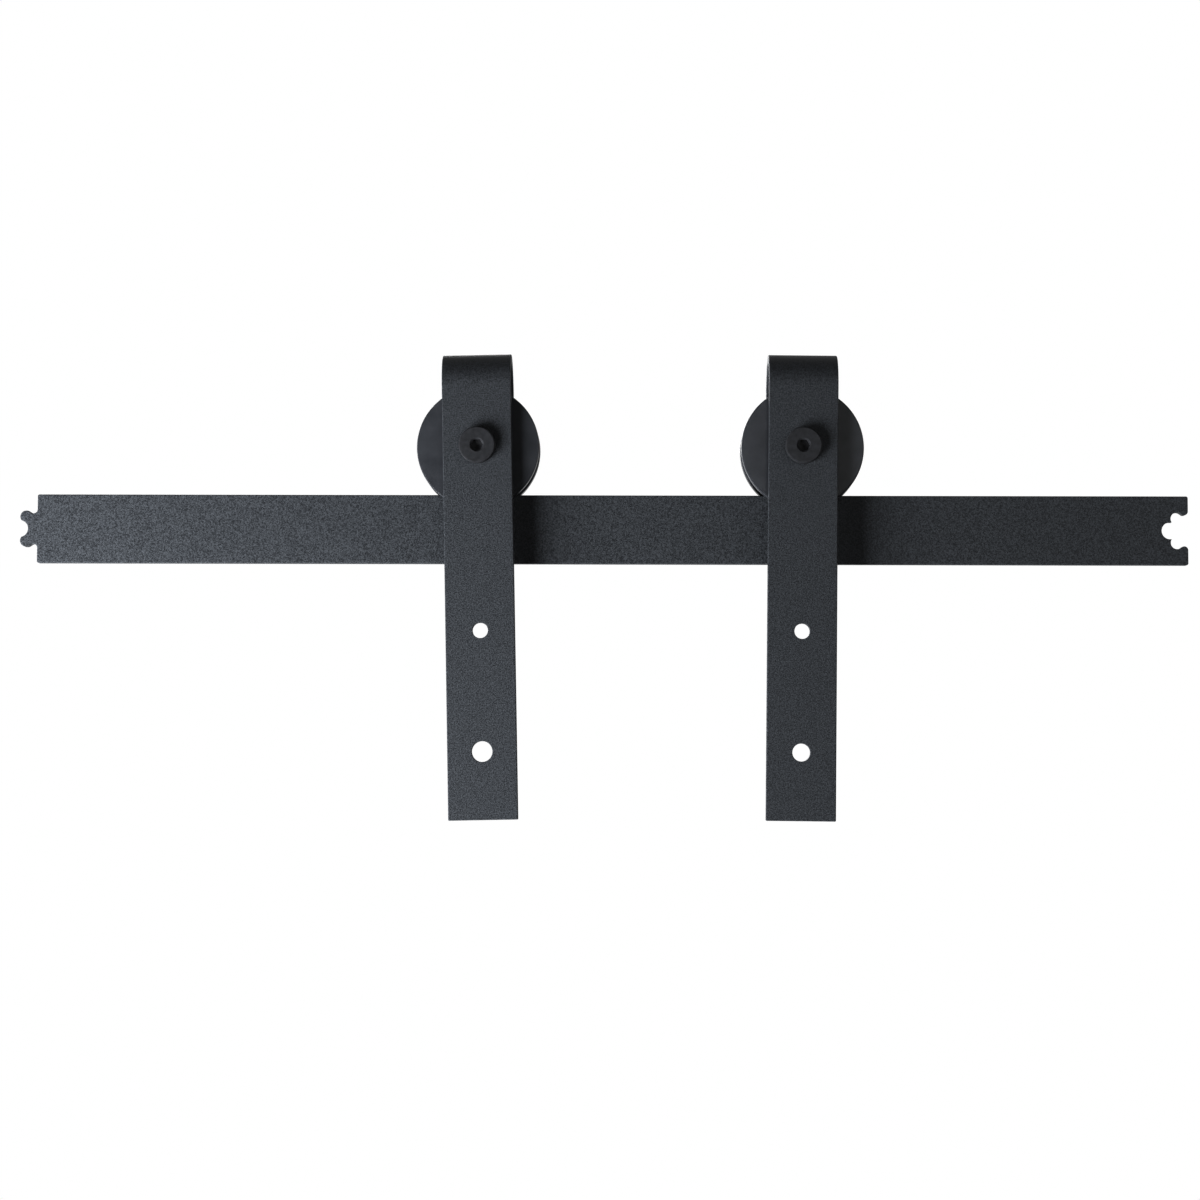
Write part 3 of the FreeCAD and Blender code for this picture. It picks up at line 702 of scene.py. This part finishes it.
class HARDWARE_OT_spring_washers(bpy.types.Operator):
    """Wind the two spring washers, pressed flat but for their split"""

    bl_idname = "door_hardware.spring_washers"
    bl_label = "Spring Washers"

    def execute(self, context):
        s = context.scene.door_fastener
        tree = coil_tree()
        finish = phosphated_steel()
        for side in SIDES:
            node = f"{side}_spring_washer"
            low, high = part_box(node)
            outer, inner = (high[0] - low[0]) / 2, s.shank + 0.25 * MM
            thick = high[1] - low[1]
            rise = WASHER_RISE * thick
            middle = (low + high) / 2
            reach = (outer + inner) / 2
            piece = run_tree(tree, f"{side}_spring_washer_split", bpy.data.meshes.new(node), {
                "Finish": finish, "Radius": reach, "Wire width": thick - rise,
                "Wire height": outer - inner, "Rise": rise,
                "Turns": 1 - s.split / (2 * math.pi * reach), "Rounding": 0.35 * MM,
                "Middle": (middle[0], middle[1] + rise / 2, middle[2]),
            })
            settle(piece, node, f"{side}_hanger")
        return {"FINISHED"}


# ---------------------------------------------------------------- finishes on the CAD nodes


class HARDWARE_OT_coat(bpy.types.Operator):
    """Powder-coat the rail and the two straps"""

    bl_idname = "door_hardware.coat"
    bl_label = "Rail and Straps"

    def execute(self, context):
        finish_nodes(powder_coat(), "rail", "left_strap", "right_strap")
        return {"FINISHED"}


class HARDWARE_OT_wheels(bpy.types.Operator):
    """Enamel the two wheels"""

    bl_idname = "door_hardware.wheels"
    bl_label = "Wheels"

    def execute(self, context):
        for side in SIDES:
            finish_nodes(wheel_enamel(side), f"{side}_wheel")
        return {"FINISHED"}


class HARDWARE_OT_bearings(bpy.types.Operator):
    """Finish the races, balls, cages, seals and circlips of the two bearings"""

    bl_idname = "door_hardware.bearings"
    bl_label = "Bearings"

    def execute(self, context):
        balls, cage = lapped_steel(), pressed_sheet()
        rubber, spring = nitrile_rubber(), phosphated_steel()
        for side in SIDES:
            races = ground_steel(side)
            finish_nodes(races, f"{side}_bearing_inner_race", f"{side}_bearing_outer_race")
            finish_nodes(balls, f"{side}_bearing_balls")
            finish_nodes(cage, f"{side}_bearing_cage")
            finish_nodes(rubber, f"{side}_bearing_front_seal", f"{side}_bearing_rear_seal")
            finish_nodes(spring, f"{side}_circlip")
        return {"FINISHED"}


class HARDWARE_OT_turned_parts(bpy.types.Operator):
    """Finish the spacers and the plain washers"""

    bl_idname = "door_hardware.turned_parts"
    bl_label = "Spacers and Washers"

    def execute(self, context):
        for side in SIDES:
            finish_nodes(zinc_plate(side), f"{side}_front_spacer", f"{side}_rear_spacer")
            finish_nodes(black_oxide(side), f"{side}_plain_washer")
        return {"FINISHED"}


# ---------------------------------------------------------------- stage


def look_at(thing, place, target):
    """Puts a light or camera somewhere and turns it to a point."""
    thing.location = place
    thing.rotation_euler = (Vector(target) - Vector(place)).to_track_quat("-Z", "Y").to_euler()


def add_area_light(name, place, target, power, size):
    """A soft square light that the camera doesn't see itself."""
    light = bpy.data.lights.new(name, "AREA")
    light.shape = "SQUARE"
    light.size = size
    light.energy = power
    lamp = bpy.data.objects.new(name, light)
    bpy.context.scene.collection.objects.link(lamp)
    look_at(lamp, place, target)
    lamp.visible_camera = False
    return lamp


def build_world(s):
    """A white surround behind the object, and a dim room in front of it."""
    world = bpy.data.worlds.new("Studio_surround")
    bpy.context.scene.world = world
    world.use_nodes = True
    tree = world.node_tree
    tree.nodes.clear()
    toward = add_node(tree, "ShaderNodeTexCoord").outputs["Generated"]
    back = add_node(tree, "ShaderNodeSeparateXYZ", {0: toward}).outputs[1]
    level = add_node(
        tree, "ShaderNodeMapRange",
        {"Value": back, "From Min": 0.0, "From Max": SPACE_FADE, "To Min": s.room,
         "To Max": 1.0},
        interpolation_type="SMOOTHSTEP",
    )
    seen = add_node(tree, "ShaderNodeLightPath").outputs["Is Camera Ray"]
    light = add_node(
        tree, "ShaderNodeMath", {0: level.outputs["Result"], 1: seen}, operation="MAXIMUM",
    )
    surround = add_node(
        tree, "ShaderNodeBackground", {"Color": (1, 1, 1, 1), "Strength": light.outputs[0]},
    )
    add_node(tree, "ShaderNodeOutputWorld", {"Surface": surround.outputs[0]})


def pale_floor(s):
    """Matt pale paper, painted darkest under the object as a soft painted shadow and fading into
    the surround's white at its edge.

    It is lit from within, so that the small lights near the object draw no patches on it.
    """
    material, tree, shader = new_material(
        "Pale_studio_floor", 1.0, **{
            "Base Color": (0, 0, 0, 1), "Specular IOR Level": 0.0, "Emission Strength": 1.0,
        },
    )
    place = add_node(tree, "ShaderNodeTexCoord").outputs["Object"]
    away = add_node(tree, "ShaderNodeVectorMath", {0: place}, operation="LENGTH").outputs["Value"]
    fade = add_node(
        tree, "ShaderNodeMapRange",
        {"Value": away, "From Min": 0.1 * FLOOR_RADIUS, "From Max": 0.95 * FLOOR_RADIUS},
        interpolation_type="SMOOTHSTEP",
    ).outputs["Result"]
    # The middle of the floor is painted darker as a soft shadow under the object.
    paper_with_painted_shadow = add_node(
        tree, "ShaderNodeMix", {"Factor": fade, 6: (*s.floor, 1), 7: (1, 1, 1, 1)},
        data_type="RGBA",
    ).outputs[2]
    tree.links.new(paper_with_painted_shadow, shader.inputs["Emission Color"])
    return material


class HARDWARE_OT_stage(bpy.types.Operator):
    """Lay the floor, set the lights and the surroundings, and aim the camera"""

    bl_idname = "door_hardware.stage"
    bl_label = "Studio"

    def execute(self, context):
        scene = context.scene
        s = scene.door_stage
        scene.view_settings.view_transform = "Standard"
        scene.view_settings.gamma = s.contrast
        build_world(s)
        key = add_area_light("Key", KEY_PLACE, KEY_TARGET, s.key_power, s.key_width)
        key.visible_glossy = False  # its glare would turn the coat grey from the right
        add_area_light("Front", FRONT_PLACE, (0, 0, 0), s.front_power, FRONT_SIZE)
        add_area_light("Back", BACK_PLACE, (0, 0, 0), s.back_power, BACK_SIZE)
        add_area_light("Right", RIGHT_PLACE, (0, 0, 0), s.right_power, RIGHT_SIZE)

        bm = bmesh.new()
        bmesh.ops.create_circle(bm, cap_ends=True, segments=96, radius=FLOOR_RADIUS)
        mesh = bpy.data.meshes.new("Floor")
        bm.to_mesh(mesh)
        bm.free()
        floor = bpy.data.objects.new("Floor", mesh)
        scene.collection.objects.link(floor)
        floor.location.z = -s.drop
        mesh.materials.append(pale_floor(s))
        floor.visible_diffuse = False
        floor.visible_glossy = False

        lens = bpy.data.cameras.new("Camera")
        lens.lens = s.lens
        lens.sensor_width = 36
        lens.clip_start, lens.clip_end = 0.05, 20
        camera = bpy.data.objects.new("Camera", lens)
        scene.collection.objects.link(camera)
        look_at(camera, CAMERA_PLACE, CAMERA_TARGET)
        camera.rotation_euler.rotate_axis("Z", s.roll)
        scene.camera = camera
        return {"FINISHED"}


# ---------------------------------------------------------------- panel and registration


class HARDWARE_PT_pieces(bpy.types.Panel):
    """The pieces of the hardware, with their settings"""

    bl_idname = "HARDWARE_PT_pieces"
    bl_label = "Sliding Door Hardware"
    bl_space_type = "VIEW_3D"
    bl_region_type = "UI"
    bl_category = "Door Hardware"

    def draw(self, context):
        for operator in OPERATORS:
            self.layout.operator(operator.bl_idname)
        for name in SETTINGS:
            box = self.layout.box()
            group = getattr(context.scene, name)
            for key in group.bl_rna.properties.keys():
                if key not in {"rna_type", "name"}:
                    box.prop(group, key)


SETTINGS = {
    "door_coat": CoatSettings,
    "door_wheel": WheelSettings,
    "door_fastener": FastenerSettings,
    "door_stage": StageSettings,
}
OPERATORS = (
    HARDWARE_OT_stage,
    HARDWARE_OT_coat,
    HARDWARE_OT_wheels,
    HARDWARE_OT_bearings,
    HARDWARE_OT_turned_parts,
    HARDWARE_OT_axle_bolts,
    HARDWARE_OT_axle_nuts,
    HARDWARE_OT_spring_washers,
)


def register():
    for name, group in SETTINGS.items():
        bpy.utils.register_class(group)
        setattr(bpy.types.Scene, name, PointerProperty(type=group))
    for cls in (*OPERATORS, HARDWARE_PT_pieces):
        bpy.utils.register_class(cls)


def unregister():
    for cls in reversed((*OPERATORS, HARDWARE_PT_pieces)):
        bpy.utils.unregister_class(cls)
    for name, group in reversed(SETTINGS.items()):
        delattr(bpy.types.Scene, name)
        bpy.utils.unregister_class(group)


def main():
    """Registers the add-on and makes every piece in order."""
    register()
    bpy.ops.door_hardware.stage()
    bpy.ops.door_hardware.coat()
    bpy.ops.door_hardware.wheels()
    bpy.ops.door_hardware.bearings()
    bpy.ops.door_hardware.turned_parts()
    bpy.ops.door_hardware.axle_bolts()
    bpy.ops.door_hardware.axle_nuts()
    bpy.ops.door_hardware.spring_washers()


if __name__ == "__main__":
    main()
